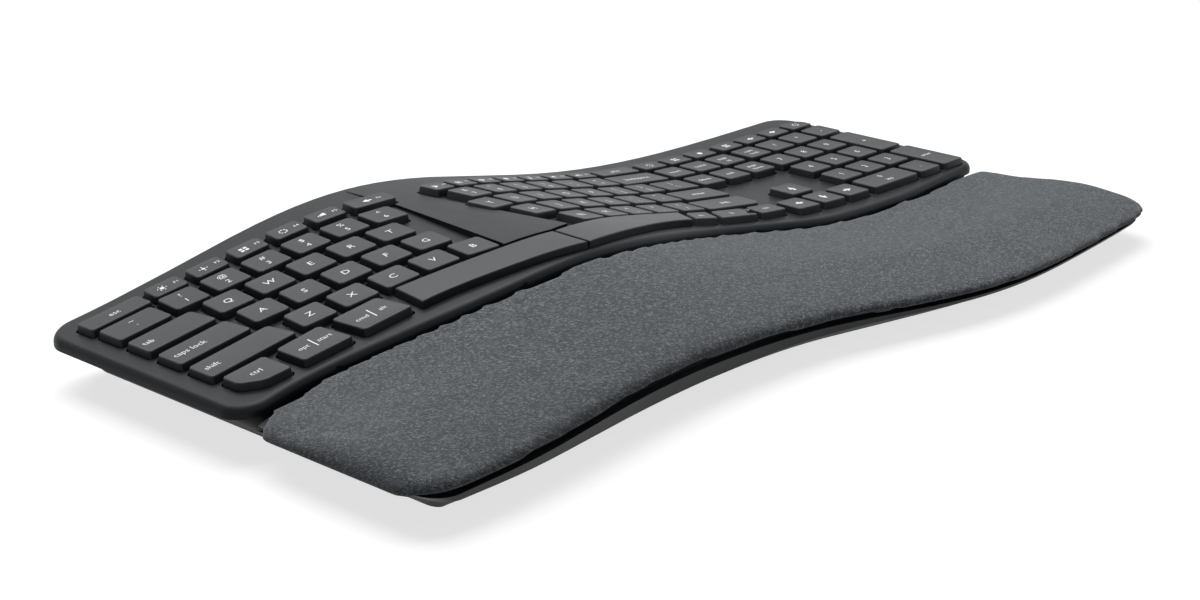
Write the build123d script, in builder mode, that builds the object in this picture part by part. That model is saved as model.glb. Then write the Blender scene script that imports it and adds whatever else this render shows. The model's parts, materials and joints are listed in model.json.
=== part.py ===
# Full-size split keyboard with a humped key deck and a padded palm rest, in millimetres.
# The origin is under the middle of the outline, +Y points away from the user and +Z up.

import os
from math import atan, cos, degrees, exp, radians, sin, sqrt, tan

from build123d import *

os.makedirs("parts", exist_ok=True)

# Overall layout
KEY_PITCH = 18.5
BLOCK_WIDTH_SHARE = 23.73
SIDE_BORDER = 8.5
BACK_BORDER = 11.0
BLOCK_DEPTH_SHARE = 7.0
PALM_DEPTH = 92.5

# Keycaps and the wells round them
KEY_GAP = 2.3
ROW_GAP = 2.7
KEY_HEIGHT = 3.5
KEY_WALL = 1.2
KEY_CORNER = 1.5
KEY_CLEARANCE = 0.5
KEY_TAPER_ANGLE = 9.0
KEY_SLANT_ANGLE = 4.5
LOW_KEY_DEPTH = 11.6

# Height of the key tops over the table, flat at the right and humped between the halves
FLAT_TOP_HEIGHT = 20.1
HUMP_HEIGHT = 27.9
HUMP_CENTRE_SHARE = -4.10
HUMP_SPREAD_SHARE = 6.24

# Layers under the key tops, each measured down from the top of the layer over it
DECK_DROP = 3.2
DECK_THICKNESS = 2.8
SKIRT_HEIGHT = 1.7
SKIRT_WIDTH = 2.5
SHEET_CLEARANCE = 0.1
MEMBRANE_THICKNESS = 0.3
PLATE_THICKNESS = 0.7

# Case and feet
FOOT_HEIGHT = 3.0
CASE_WALL = 2.0
CASE_FLARE = 9.0
TRAY_HEIGHT = 5.8
RIM_INSET = 1.5
RIM_CLEARANCE = 0.15
BACK_CORNER_RADIUS = 14.0
FRONT_CORNER_RADIUS = 12.0
PALM_CORNER_RADIUS = 17.0

# Palm rest
PALM_GAP = 0.4
PAD_THICKNESS = 6.0
PAD_LIP = 4.4
PAD_CLEARANCE = 0.3
COVER_THICKNESS = 1.0
CREASE_STEP = 1.1
LOW_EDGE_HEIGHT = 10.5
LOW_EDGE_RISE = 6.0
FRONT_RISE = 8.0
FRONT_HUMP_RISE = 3.5
PAD_CROWN = 1.6
PAD_END_ROUND = 6.0
BULGE_SHARE = 0.42
BAND_INSET = 0.8

# Switch parts
SCISSOR_WIDTH = 10.6
SCISSOR_DEPTH = 8.2
SCISSOR_BAR = 1.1
LINK_CLEARANCE = 0.45
DOME_RADIUS = 2.6
DOME_TAPER_ANGLE = 14.0
WIRE_SIZE = 0.9
WIRE_LEG = 3.0

# Underside
CELL_DIAMETER = 10.5
CELL_LENGTH = 44.5
CELL_GAP = 1.0
CONTACT_THICKNESS = 0.5
DOOR_CLEARANCE = 0.4
LEG_WIDTH = 22.0
TALL_LEG_LENGTH = 26.0
SHORT_LEG_LENGTH = 15.0
LEG_THICKNESS = 3.6
LEG_ROOF = 1.0
LEG_CLEARANCE = 0.5
PIN_DIAMETER = 2.2
PIN_CLEARANCE = 0.2
FOOT_LENGTH = 28.0
FOOT_WIDTH = 9.0
SWITCH_LENGTH = 5.0
SWITCH_WIDTH = 4.0
SWITCH_THICKNESS = 1.2
SWITCH_TRAVEL = 3.0
SCREW_DIAMETER = 2.2
SCREW_HEAD_DIAMETER = 4.6
SCREW_HEAD_HEIGHT = 1.6
BOARD_LENGTH = 62.0
BOARD_DEPTH = 34.0
BOARD_THICKNESS = 1.2
BOSS_DIAMETER = 7.0
BOSS_HEIGHT = 3.0

# Room that every cut and trim runs past the piece
OVERRUN = 5.0

WIDTH = BLOCK_WIDTH_SHARE * KEY_PITCH + 2 * SIDE_BORDER
DEPTH = BACK_BORDER + BLOCK_DEPTH_SHARE * KEY_PITCH + PALM_DEPTH
BACK = DEPTH / 2
HALF_WIDTH = WIDTH / 2
HUMP_X = HUMP_CENTRE_SHARE * KEY_PITCH
HUMP_SPREAD = HUMP_SPREAD_SHARE * KEY_PITCH
KEY_WIDTH = KEY_PITCH - KEY_GAP
KEY_DEPTH = KEY_PITCH - ROW_GAP

WEB_DROP = DECK_DROP + DECK_THICKNESS
SKIRT_DROP = WEB_DROP + SKIRT_HEIGHT
MEMBRANE_DROP = WEB_DROP + SHEET_CLEARANCE
PLATE_DROP = MEMBRANE_DROP + MEMBRANE_THICKNESS + SHEET_CLEARANCE
PLATE_BOTTOM_DROP = PLATE_DROP + PLATE_THICKNESS
RIM_DROP = SKIRT_DROP + RIM_CLEARANCE
TRAY_RIM = FOOT_HEIGHT + TRAY_HEIGHT
FLOOR_TOP = FOOT_HEIGHT + CASE_WALL
TOP_LIMIT = FLAT_TOP_HEIGHT + HUMP_HEIGHT + OVERRUN


def across(share):
    """X of a place counted in key pitches from the middle."""
    return share * KEY_PITCH


def down(share):
    """Y of a place counted in key pitches from the back border's inner edge."""
    return BACK - BACK_BORDER - share * KEY_PITCH


def key_top(x):
    return FLAT_TOP_HEIGHT + HUMP_HEIGHT * exp(-(((x - HUMP_X) / HUMP_SPREAD) ** 2))


def key_slope(x):
    return -2 * (x - HUMP_X) / HUMP_SPREAD**2 * (key_top(x) - FLAT_TOP_HEIGHT)


def key_plane(x, y, turn, drop):
    """Plane on the key tops at x and y, turned about its normal and lowered along it."""
    slope = key_slope(x)
    length = sqrt(1 + slope**2)
    angle = radians(turn)
    normal = Vector(-slope / length, 0, 1 / length)
    along = Vector(cos(angle) / length, sin(angle), cos(angle) * slope / length)
    return Plane(origin=Vector(x, y, key_top(x)) - normal * drop, x_dir=along, z_dir=normal)


# Keys: each is its centre, its turn and the corners of its foot in its own plane


def plain_key(x, y, turn=0.0, width=KEY_WIDTH, depth=KEY_DEPTH, slant=0.0):
    lean = depth / 2 * tan(radians(slant))
    front = [(-width / 2 - lean, -depth / 2), (width / 2 - lean, -depth / 2)]
    back = [(width / 2 + lean, depth / 2), (-width / 2 + lean, depth / 2)]
    return (x, y, turn, front + back)


def shaped_key(corner_shares):
    corners = [(across(x), down(y)) for x, y in corner_shares]
    middle_x = (min(x for x, y in corners) + max(x for x, y in corners)) / 2
    middle_y = (min(y for x, y in corners) + max(y for x, y in corners)) / 2
    stretch = sqrt(1 + key_slope(middle_x) ** 2)
    return (middle_x, middle_y, 0.0, [((x - middle_x) * stretch, y - middle_y) for x, y in corners])


def left_row(x_share, y_share, turn, count):
    """Keys of the left half along a straight row that falls towards the hump."""
    keys = []
    for i in range(count):
        x = across(x_share) + i * KEY_PITCH * cos(radians(turn))
        y = down(y_share) + i * KEY_PITCH * sin(radians(turn))
        keys.append(plain_key(x, y, turn, slant=-KEY_SLANT_ANGLE))
    return keys


RIGHT_PITCH_SHARE = 0.95
LOW_RIGHT_PITCH_SHARE = 0.878
ROW_BEND_SHARE = 0.018
RIGHT_PITCH = RIGHT_PITCH_SHARE * KEY_PITCH
ROW_FLAT_X = across(2.16)
ROW_BEND = ROW_BEND_SHARE / KEY_PITCH


def right_row(x_share, y_share, count, pitch, depth):
    """Keys of the right half along a row that bends down towards the hump."""
    keys = []
    for i in range(count):
        x = across(x_share) + i * pitch
        run = max(ROW_FLAT_X - x, 0)
        turn = degrees(atan(2 * ROW_BEND * run))
        keys.append(plain_key(x, down(y_share) - ROW_BEND * run**2, turn, pitch - KEY_GAP, depth))
    return keys


# Rows as the share across and down of their first key, their turn and their number of keys
LEFT_ROW_SHARES = [
    (-9.88, 1.16, -8.8, 6),
    (-9.50, 2.16, -9.9, 5),
    (-9.40, 3.15, -10.4, 5),
    (-9.04, 4.22, -10.4, 5),
]
RIGHT_ROW_SHARES = [(-2.16, 1.51, 6), (-2.54, 2.49, 7), (-2.08, 3.46, 6), (-1.46, 4.45, 5)]
NAV_X_SHARES = [5.36, 6.36, 7.36]
PAD_X_SHARES = [8.45, 9.45, 10.45, 11.46]
PAD_Y_SHARES = [1.58, 2.57, 3.57, 4.57, 5.56]
LOW_ROW_SHARE = 0.72
LOW_LEFT_SHARES = [(-9.75, 0.375), (-8.73, 0.489), (-7.71, 0.603), (-6.69, 0.717), (-5.67, 0.831)]
LOW_LEFT_TURN = -6.4
WIDE_LOW_SHARE = (-4.47, 0.965)
WIDE_LOW_WIDTH = 1.19 * KEY_PITCH

left_rows = [left_row(*shares) for shares in LEFT_ROW_SHARES]
right_rows = [right_row(x, y, count, RIGHT_PITCH, KEY_DEPTH) for x, y, count in RIGHT_ROW_SHARES]
low_left_row = [
    plain_key(across(x), down(y), LOW_LEFT_TURN, KEY_WIDTH, LOW_KEY_DEPTH) for x, y in LOW_LEFT_SHARES
]
wide_x, wide_y = across(WIDE_LOW_SHARE[0]), down(WIDE_LOW_SHARE[1])
low_left_row.append(plain_key(wide_x, wide_y, LOW_LEFT_TURN, WIDE_LOW_WIDTH, LOW_KEY_DEPTH))
low_right_row = right_row(-2.45, 0.68, 7, LOW_RIGHT_PITCH_SHARE * KEY_PITCH, LOW_KEY_DEPTH)


def pad_key(column, row):
    return plain_key(across(PAD_X_SHARES[column]), down(PAD_Y_SHARES[row]))


def nav_key(column, row):
    return plain_key(across(NAV_X_SHARES[column]), down(PAD_Y_SHARES[row]))


def tall_key(column, top_row):
    y_share = (PAD_Y_SHARES[top_row] + PAD_Y_SHARES[top_row + 1]) / 2
    return plain_key(across(PAD_X_SHARES[column]), down(y_share), depth=KEY_DEPTH + KEY_PITCH)


TILDE_SHARES = [(-11.85, 1.60), (-10.46, 1.60), (-10.46, 0.77), (-11.85, 0.77)]
TAB_SHARES = [(-11.85, 2.56), (-10.07, 2.57), (-10.16, 1.73), (-11.85, 1.73)]
CAPS_SHARES = [(-11.85, 3.57), (-9.99, 3.58), (-10.07, 2.73), (-11.85, 2.73)]
LEFT_SHIFT_SHARES = [(-11.85, 4.55), (-9.64, 4.57), (-9.76, 3.73), (-11.85, 3.72)]
LEFT_CTRL_SHARES = [(-11.35, 5.58), (-10.66, 5.62), (-10.66, 4.69), (-11.77, 4.68), (-11.77, 5.22)]
LEFT_ALT_SHARES = [(-10.42, 5.64), (-9.20, 5.77), (-9.26, 4.74), (-10.42, 4.70)]
LEFT_META_SHARES = [(-8.97, 5.80), (-7.76, 5.96), (-7.87, 4.93), (-9.03, 4.78)]
ESCAPE_SHARES = [(-11.89, 0.69), (-10.29, 0.69), (-10.29, 0.07), (-11.89, 0.07)]
BACKSPACE_SHARES = [(3.08, 1.99), (4.75, 2.01), (4.75, 1.16), (3.08, 1.12)]
BACKSLASH_SHARES = [(3.65, 2.96), (4.75, 3.00), (4.75, 2.14), (3.65, 2.11)]
ENTER_SHARES = [(3.18, 3.93), (4.75, 3.99), (4.75, 3.13), (3.18, 3.08)]
RIGHT_SHIFT_SHARES = [(2.86, 4.91), (4.55, 4.98), (4.75, 4.80), (4.75, 4.12), (2.86, 4.06)]
FIRST_MODIFIER_SHARES = [(1.37, 5.66), (2.16, 5.73), (2.44, 5.04), (1.68, 5.02)]
SECOND_MODIFIER_SHARES = [(2.25, 5.74), (3.60, 5.78), (3.68, 5.09), (2.55, 5.05)]
THIRD_MODIFIER_SHARES = [(3.73, 5.78), (4.72, 5.76), (4.72, 5.12), (3.81, 5.09)]
PRINT_SHARES = [(3.33, 1.02), (4.75, 1.02), (4.75, 0.40), (3.33, 0.40)]
LAST_HOT_KEY_SHARES = [(11.02, 1.02), (11.89, 1.02), (11.89, 0.62), (11.70, 0.40), (11.02, 0.40)]

KEY_NODES = {
    "key_esc": [shaped_key(ESCAPE_SHARES)],
    "key_tilde": [shaped_key(TILDE_SHARES)],
    "key_tab": [shaped_key(TAB_SHARES)],
    "key_caps_lock": [shaped_key(CAPS_SHARES)],
    "key_shift_left": [shaped_key(LEFT_SHIFT_SHARES)],
    "key_ctrl_left": [shaped_key(LEFT_CTRL_SHARES)],
    "key_alt_left": [shaped_key(LEFT_ALT_SHARES)],
    "key_meta_left": [shaped_key(LEFT_META_SHARES)],
    "function_keys_left": low_left_row,
    "key_backspace": [shaped_key(BACKSPACE_SHARES)],
    "key_backslash": [shaped_key(BACKSLASH_SHARES)],
    "key_enter": [shaped_key(ENTER_SHARES)],
    "key_shift_right": [shaped_key(RIGHT_SHIFT_SHARES)],
    "key_modifier_right_1": [shaped_key(FIRST_MODIFIER_SHARES)],
    "keys_modifiers_right": [shaped_key(SECOND_MODIFIER_SHARES), shaped_key(THIRD_MODIFIER_SHARES)],
    "function_keys_right": low_right_row,
    "key_print": [shaped_key(PRINT_SHARES)],
    "device_keys": [plain_key(across(x), down(LOW_ROW_SHARE), depth=LOW_KEY_DEPTH) for x in NAV_X_SHARES],
    "hot_keys": [plain_key(across(x), down(LOW_ROW_SHARE), depth=LOW_KEY_DEPTH) for x in PAD_X_SHARES[:3]]
    + [shaped_key(LAST_HOT_KEY_SHARES)],
    "navigation_keys": [nav_key(column, row) for row in (0, 1) for column in range(3)],
    "arrow_keys": [nav_key(1, 3), nav_key(0, 4), nav_key(1, 4), nav_key(2, 4)],
    "numpad_top_keys": [pad_key(column, 0) for column in range(4)],
    "numpad_digit_keys": [pad_key(column, row) for row in (1, 2, 3) for column in range(3)] + [pad_key(2, 4)],
    "key_numpad_plus": [tall_key(3, 1)],
    "key_numpad_enter": [tall_key(3, 3)],
    "key_numpad_zero": [
        plain_key(
            across((PAD_X_SHARES[0] + PAD_X_SHARES[1]) / 2),
            down(PAD_Y_SHARES[4]),
            width=KEY_WIDTH + KEY_PITCH,
        )
    ],
}
for i in range(5):
    KEY_NODES[f"keys_left_column_{i + 1}"] = [row[i] for row in left_rows]
KEY_NODES["keys_left_column_5"].append(left_rows[0][5])
for i in range(5):
    KEY_NODES[f"keys_right_column_{i + 1}"] = [row[i] for row in right_rows]
KEY_NODES["keys_right_column_6"] = [row[5] for row in right_rows[:3]] + [right_rows[1][6]]

all_keys = [key for keys in KEY_NODES.values() for key in keys]


def key_outline(key, drop, grow, corner):
    """Face of a key's outline in its plane, grown all round, with its corners cut."""
    x, y, turn, corners = key
    with BuildSketch(key_plane(x, y, turn, drop)) as sketch:
        Polygon(*corners, align=None)
        if grow:
            offset(amount=grow, kind=Kind.INTERSECTION)
        chamfer(sketch.vertices(), length=corner)
    return sketch.sketch.face()


for name, keys in KEY_NODES.items():
    with BuildPart() as caps:
        feet = [key_outline(key, KEY_HEIGHT, 0, KEY_CORNER) for key in keys]
        extrude(feet, KEY_HEIGHT, taper=KEY_TAPER_ANGLE)
        pockets = [key_outline(key, KEY_HEIGHT, -KEY_WALL, KEY_CORNER / 2) for key in keys]
        extrude(pockets, KEY_HEIGHT - KEY_WALL, mode=Mode.SUBTRACT)
    caps.part.label = name
    export_step(caps.part, f"parts/{name}.step")

# Curved layers that follow the key tops

WAVE_SHARES = [-14.0, -11.2, -9.2, -7.6, -6.4, -5.2, -4.1, -3.0, -1.8, -0.6, 1.0, 3.0, 5.5, 9.0, 14.0]


def layer_profile(y, drop, bottom_drop):
    """Profile between two heights under the key tops, as the front view shows it, at one depth."""
    upper = [(across(share), key_top(across(share)) - drop) for share in WAVE_SHARES]
    lower = [(across(share), key_top(across(share)) - bottom_drop) for share in WAVE_SHARES]
    with BuildSketch(Plane.XZ.offset(-y)) as sketch:
        with BuildLine():
            Spline(*upper)
            Line(upper[-1], lower[-1])
            Spline(*lower)
            Line(lower[0], upper[0])
        make_face()
    return sketch.sketch.face()


def layer(outline, drop, bottom_drop):
    """Piece of a curved layer between two heights under the key tops, inside a plan outline."""
    with BuildPart() as piece:
        extrude(layer_profile(BACK + OVERRUN, drop, bottom_drop), DEPTH + 2 * OVERRUN)
        extrude(outline, TOP_LIMIT, mode=Mode.INTERSECT)
    return piece.part


CREASE_SHARES = [
    (-9.9, 6.02), (-8.1, 6.42), (-6.0, 6.83), (-3.8, 6.83), (-1.6, 6.58), (0.0, 6.29),
    (2.4, 6.07), (3.8, 6.24), (5.2, 6.50), (6.8, 6.55), (8.6, 6.53), (10.3, 6.36),
]
CREASE_END_SHARE = 6.14


def crease_points(side, gap):
    """Line where the deck ends and the palm rest begins, from side to side, moved back by the gap."""
    ends = [(-side, down(CREASE_END_SHARE) + gap), (side, down(CREASE_END_SHARE) + gap)]
    return [ends[0]] + [(across(x), down(y) + gap) for x, y in CREASE_SHARES] + [ends[1]]


def deck_outline(inset):
    """Plan of the key deck, drawn in all round by the inset."""
    side = HALF_WIDTH - inset
    front = crease_points(side, inset)
    back_corners = [(side, BACK - inset), (-side, BACK - inset)]
    with BuildSketch(Plane.XY) as sketch:
        with BuildLine():
            Spline(*front)
            Polyline(front[-1], *back_corners, front[0])
        make_face()
        by_depth = sketch.vertices().sort_by(Axis.Y)
        fillet(by_depth[:2], FRONT_CORNER_RADIUS - inset)
        fillet(sketch.vertices().sort_by(Axis.Y)[-2:], BACK_CORNER_RADIUS - inset)
    return sketch.sketch.face()


LEFT_BAR_BACK_SHARES = [(-7.43, 5.02), (-6.3, 5.29), (-5.14, 5.48), (-4.2, 5.52), (-3.27, 5.51)]
LEFT_BAR_FRONT_SHARES = [(-7.56, 5.98), (-6.87, 6.10), (-5.66, 6.36), (-4.35, 6.52), (-3.30, 6.58)]
RIGHT_BAR_BACK_SHARES = [(-3.19, 5.51), (-2.4, 5.36), (-1.5, 5.18), (0.0, 5.01), (1.55, 4.95)]
RIGHT_BAR_FRONT_SHARES = [
    (-3.22, 6.58), (-2.38, 6.43), (-1.5, 6.22), (-0.53, 5.96), (0.38, 5.76), (1.23, 5.68),
]
BARS = {
    "key_space_left": (LEFT_BAR_FRONT_SHARES, LEFT_BAR_BACK_SHARES),
    "key_space_right": (RIGHT_BAR_FRONT_SHARES, RIGHT_BAR_BACK_SHARES),
}


def bar_outline(bar_shares, grow):
    """Plan of a space bar, grown all round."""
    front_shares, back_shares = bar_shares
    front = [(across(x), down(y) - grow) for x, y in front_shares]
    back = [(across(x), down(y) + grow) for x, y in back_shares]
    for side in (front, back):
        side[0] = (side[0][0] - grow, side[0][1])
        side[-1] = (side[-1][0] + grow, side[-1][1])
    with BuildSketch(Plane.XY) as sketch:
        with BuildLine():
            Spline(*front)
            Line(front[-1], back[-1])
            Spline(*back)
            Line(back[0], front[0])
        make_face()
    return sketch.sketch.face()


for name, bar_shares in BARS.items():
    with BuildPart() as bar:
        add(layer(bar_outline(bar_shares, 0), 0, KEY_HEIGHT))
        add(layer(bar_outline(bar_shares, -KEY_WALL), KEY_WALL, KEY_HEIGHT + OVERRUN), mode=Mode.SUBTRACT)
    bar.part.label = name
    export_step(bar.part, f"parts/{name}.step")

# Top case: deck with a skirt under its rim, island between the halves, and the wells

ISLAND_BACK_SHARE = -0.6
ISLAND_FRONT_SHARE = 5.2
ISLAND_SHARES = [
    (-4.05, -0.3), (-4.08, 1.45), (-4.65, 5.42), (-3.25, 5.42), (-2.52, 5.25), (-3.08, 1.45), (-3.02, -0.3),
]


def island():
    """Raised strip between the halves, level with the deck at the back and with the keys in front."""
    with BuildPart() as piece:
        front = layer_profile(down(ISLAND_FRONT_SHARE), 0, WEB_DROP)
        back = layer_profile(down(ISLAND_BACK_SHARE), DECK_DROP, WEB_DROP)
        loft([front, back], ruled=True)
        extrude(front, OVERRUN)
        with BuildSketch(Plane.XY) as plan:
            Polygon(*[(across(x), down(y)) for x, y in ISLAND_SHARES], align=None)
        extrude(plan.sketch.face(), TOP_LIMIT, mode=Mode.INTERSECT)
    return piece.part


with BuildPart() as top_case:
    add(layer(deck_outline(0), DECK_DROP, SKIRT_DROP))
    add(layer(deck_outline(SKIRT_WIDTH), WEB_DROP, SKIRT_DROP + OVERRUN), mode=Mode.SUBTRACT)
    add(island())
    wells = [key_outline(key, SKIRT_DROP, KEY_CLEARANCE, KEY_CORNER) for key in all_keys]
    extrude(wells, SKIRT_DROP + OVERRUN, mode=Mode.SUBTRACT)
    for bar_shares in BARS.values():
        extrude(bar_outline(bar_shares, KEY_CLEARANCE), TOP_LIMIT, mode=Mode.SUBTRACT)
top_case.part.label = "top_case"
export_step(top_case.part, "parts/top_case.step")

# Membrane sheet and key support plate, laid under the deck inside its skirt

for name, drop, bottom_drop in (
    ("membrane_sheet", MEMBRANE_DROP, MEMBRANE_DROP + MEMBRANE_THICKNESS),
    ("key_support_plate", PLATE_DROP, PLATE_BOTTOM_DROP),
):
    sheet = layer(deck_outline(SKIRT_WIDTH + PAD_CLEARANCE), drop, bottom_drop)
    sheet.label = name
    export_step(sheet, f"parts/{name}.step")

# Rubber dome and scissor link under every key, standing on the membrane

BAR_SWITCH_SHARES = [(-5.3, 5.93), (-0.75, 5.62)]
bar_switches = [plain_key(across(x), down(y)) for x, y in BAR_SWITCH_SHARES]
LINK_DROP = MEMBRANE_DROP - LINK_CLEARANCE
LINK_HEIGHT = LINK_DROP - KEY_WALL - LINK_CLEARANCE
NARROW_KEY_SHARE = 0.82
NARROW_LINK_SHARE = 0.6


def link_share(corners):
    """Size of a key's dome and link against the common one, smaller under a narrow key."""
    front_width = corners[1][0] - corners[0][0]
    back_width = corners[-2][0] - corners[-1][0]
    return NARROW_LINK_SHARE if min(front_width, back_width) < NARROW_KEY_SHARE * KEY_PITCH else 1


with BuildPart() as links:
    for x, y, turn, corners in all_keys + bar_switches:
        link_width = SCISSOR_WIDTH * link_share(corners)
        with BuildSketch(key_plane(x, y, turn, LINK_DROP)):
            Rectangle(link_width, SCISSOR_DEPTH)
            Rectangle(link_width - 2 * SCISSOR_BAR, SCISSOR_DEPTH - 2 * SCISSOR_BAR, mode=Mode.SUBTRACT)
    extrude(amount=LINK_HEIGHT)
links.part.label = "scissor_links"
export_step(links.part, "parts/scissor_links.step")

with BuildPart() as domes:
    for x, y, turn, corners in all_keys + bar_switches:
        with BuildSketch(key_plane(x, y, turn, LINK_DROP)):
            RegularPolygon(DOME_RADIUS * link_share(corners), 6)
    extrude(amount=LINK_HEIGHT, taper=DOME_TAPER_ANGLE)
domes.part.label = "rubber_domes"
export_step(domes.part, "parts/rubber_domes.step")

# Stabiliser wires of the wide keys, each a long bar with two short legs

WIRE_TOP_DROP = MEMBRANE_DROP - SHEET_CLEARANCE - WIRE_SIZE
WIRE_SHARES = [
    (-11.65, -10.35, 2.42), (-11.65, -10.25, 3.42), (-11.65, -9.95, 4.41), (3.25, 4.55, 1.84),
    (3.35, 4.55, 3.80), (3.05, 4.25, 4.80), (8.25, 9.65, 5.85),
]
TALL_WIRE_SHARES = [(2.35, 3.80), (4.35, 5.80)]

with BuildPart() as wires:
    extrude(layer_profile(BACK + OVERRUN, WIRE_TOP_DROP, WIRE_TOP_DROP + WIRE_SIZE), DEPTH + 2 * OVERRUN)
    with BuildSketch(Plane.XY) as wire_plan:
        for left, right, y in WIRE_SHARES:
            with Locations((across((left + right) / 2), down(y))):
                Rectangle(across(right - left), WIRE_SIZE)
            with Locations((across(left), down(y) + WIRE_LEG / 2), (across(right), down(y) + WIRE_LEG / 2)):
                Rectangle(WIRE_SIZE, WIRE_LEG + WIRE_SIZE)
        for back, front in TALL_WIRE_SHARES:
            wire_x = across(PAD_X_SHARES[3]) + SCISSOR_WIDTH / 2 + WIRE_SIZE
            with Locations((wire_x, down((back + front) / 2))):
                Rectangle(WIRE_SIZE, across(front - back))
    extrude(wire_plan.sketch, TOP_LIMIT, mode=Mode.INTERSECT)
wires.part.label = "stabiliser_wires"
export_step(wires.part, "parts/stabiliser_wires.step")

# Plan of the whole case and of the palm rest

PALM_FRONT_SHARES = [
    (-11.0, 10.87), (-9.4, 10.86), (-7.6, 10.66), (-5.0, 10.37), (-2.6, 10.30), (0.0, 10.52), (2.2, 11.12),
    (4.2, 11.64), (6.0, 11.83), (8.1, 11.75), (10.2, 11.56),
]
PALM_LEFT_END_SHARE = 10.88
PALM_RIGHT_END_SHARE = 11.35
LOWEST_PALM_SHARE = 11.83


def palm_front_points(side, gap):
    """Front of the palm rest from side to side, moved back by the gap."""
    scale = (DEPTH - BACK_BORDER) / (LOWEST_PALM_SHARE * KEY_PITCH)
    inner = [(across(x), down(share * scale) + gap) for x, share in PALM_FRONT_SHARES]
    left = (-side, down(PALM_LEFT_END_SHARE * scale) + gap)
    right = (side, down(PALM_RIGHT_END_SHARE * scale) + gap)
    return [left] + inner + [right]


def case_outline(inset, height):
    """Plan of the whole case at one height, drawn in all round by the inset."""
    side = HALF_WIDTH - inset
    front = palm_front_points(side, inset)
    with BuildSketch(Plane.XY.offset(height)) as sketch:
        with BuildLine():
            Spline(*front)
            Polyline(front[-1], (side, BACK - inset), (-side, BACK - inset), front[0])
        make_face()
        fillet(sketch.vertices().sort_by(Axis.Y)[:2], PALM_CORNER_RADIUS - inset)
        fillet(sketch.vertices().sort_by(Axis.Y)[-2:], BACK_CORNER_RADIUS - inset)
    return sketch.sketch.face()


def palm_outline(inset, back_gap, height):
    """Plan of the palm rest at one height: front and sides drawn in by the inset, back by its own gap."""
    side = HALF_WIDTH - inset
    front = palm_front_points(side, inset)
    back = crease_points(side, -back_gap)
    with BuildSketch(Plane.XY.offset(height)) as sketch:
        with BuildLine():
            Spline(*front)
            Line(front[-1], back[-1])
            Spline(*back)
            Line(back[0], front[0])
        make_face()
        fillet(sketch.vertices().sort_by(Axis.Y)[:2], PALM_CORNER_RADIUS - inset)
    return sketch.sketch.face()


def curve_at(points, x):
    """Height of a plan curve at x, along an eased run between the points on its two sides."""
    for i in range(1, len(points)):
        (x0, y0), (x1, y1) = points[i - 1], points[i]
        if x <= x1:
            before = points[max(i - 2, 0)]
            after = points[min(i + 1, len(points) - 1)]
            slope_0 = (y1 - before[1]) / (x1 - before[0])
            slope_1 = (after[1] - y0) / (after[0] - x0)
            t = (x - x0) / (x1 - x0)
            bend_0 = (slope_0 * (x1 - x0) - (y1 - y0)) * t * (1 - t) ** 2
            bend_1 = ((y1 - y0) - slope_1 * (x1 - x0)) * t**2 * (1 - t)
            return y0 + (y1 - y0) * t + bend_0 + bend_1
    return points[-1][1]


# Palm rest cushion: sections across it from end to end, drawn in and rounded at the ends

LOW_EDGE_X = across(-5.4)
LOW_EDGE_SPREAD = across(5.95)
PAD_END_STEPS = [0.3, 1.5, 4.0, 9.0, 17.0]
PAD_STATION_SHARE = 1.1
PAD_MIDDLE_SHARES = [PAD_STATION_SHARE * i for i in range(-10, 11)]


def low_edge(x):
    """Height of the fabric's lower edge."""
    return LOW_EDGE_HEIGHT + LOW_EDGE_RISE * exp(-(((x - LOW_EDGE_X) / LOW_EDGE_SPREAD) ** 2))


def shoulder(x):
    """Height of the pad where it turns down to its front."""
    return low_edge(x) + FRONT_RISE + FRONT_HUMP_RISE * exp(-(((x - LOW_EDGE_X) / LOW_EDGE_SPREAD) ** 2))


def crease_height(x):
    return key_top(x) - DECK_DROP - CREASE_STEP


def station(x):
    """Front and back of the palm rest at x."""
    return curve_at(palm_front_points(HALF_WIDTH, 0), x), curve_at(crease_points(HALF_WIDTH, 0), x) - PALM_GAP


def pad_section(x, inset, end_distance):
    """Closed section of the cushion at x, drawn in by the inset, smaller close to an end."""
    front, back = station(x)
    turn_in = 0
    if end_distance < PALM_CORNER_RADIUS:
        turn_in = PALM_CORNER_RADIUS - sqrt(PALM_CORNER_RADIUS**2 - (PALM_CORNER_RADIUS - end_distance) ** 2)
    lowered = 0
    if end_distance < PAD_END_ROUND:
        lowered = PAD_END_ROUND - sqrt(PAD_END_ROUND**2 - (PAD_END_ROUND - end_distance) ** 2)
    front = front + turn_in + inset
    back = back - turn_in * PALM_GAP - inset
    low = low_edge(x) + inset
    rear_top = max(crease_height(x) - lowered - inset, low + PAD_CROWN)
    front_top = max(shoulder(x) - lowered - inset, low + PAD_CROWN)
    bulge = low + (front_top - low) * BULGE_SHARE
    edge = front + FRONT_RISE
    crown = ((edge + back) / 2, (front_top + rear_top) / 2 + PAD_CROWN)
    with BuildSketch(Plane.YZ.offset(x)) as sketch:
        with BuildLine():
            Spline((back, rear_top), crown, (edge, front_top), (front, bulge), (front + PAD_CROWN, low))
            Line((front + PAD_CROWN, low), (back, low))
            Line((back, low), (back, rear_top))
        make_face()
    return sketch.sketch.face()


def pad_body(inset):
    """Whole cushion shape, from the left end to the right, drawn in all round by the inset."""
    half = HALF_WIDTH - inset
    left = [(-half + step, step) for step in PAD_END_STEPS]
    middle = [(across(share), HALF_WIDTH) for share in PAD_MIDDLE_SHARES]
    right = [(half - step, step) for step in reversed(PAD_END_STEPS)]
    with BuildPart() as body:
        loft([pad_section(x, inset, distance) for x, distance in left + middle + right], ruled=True)
    return body.part


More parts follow.
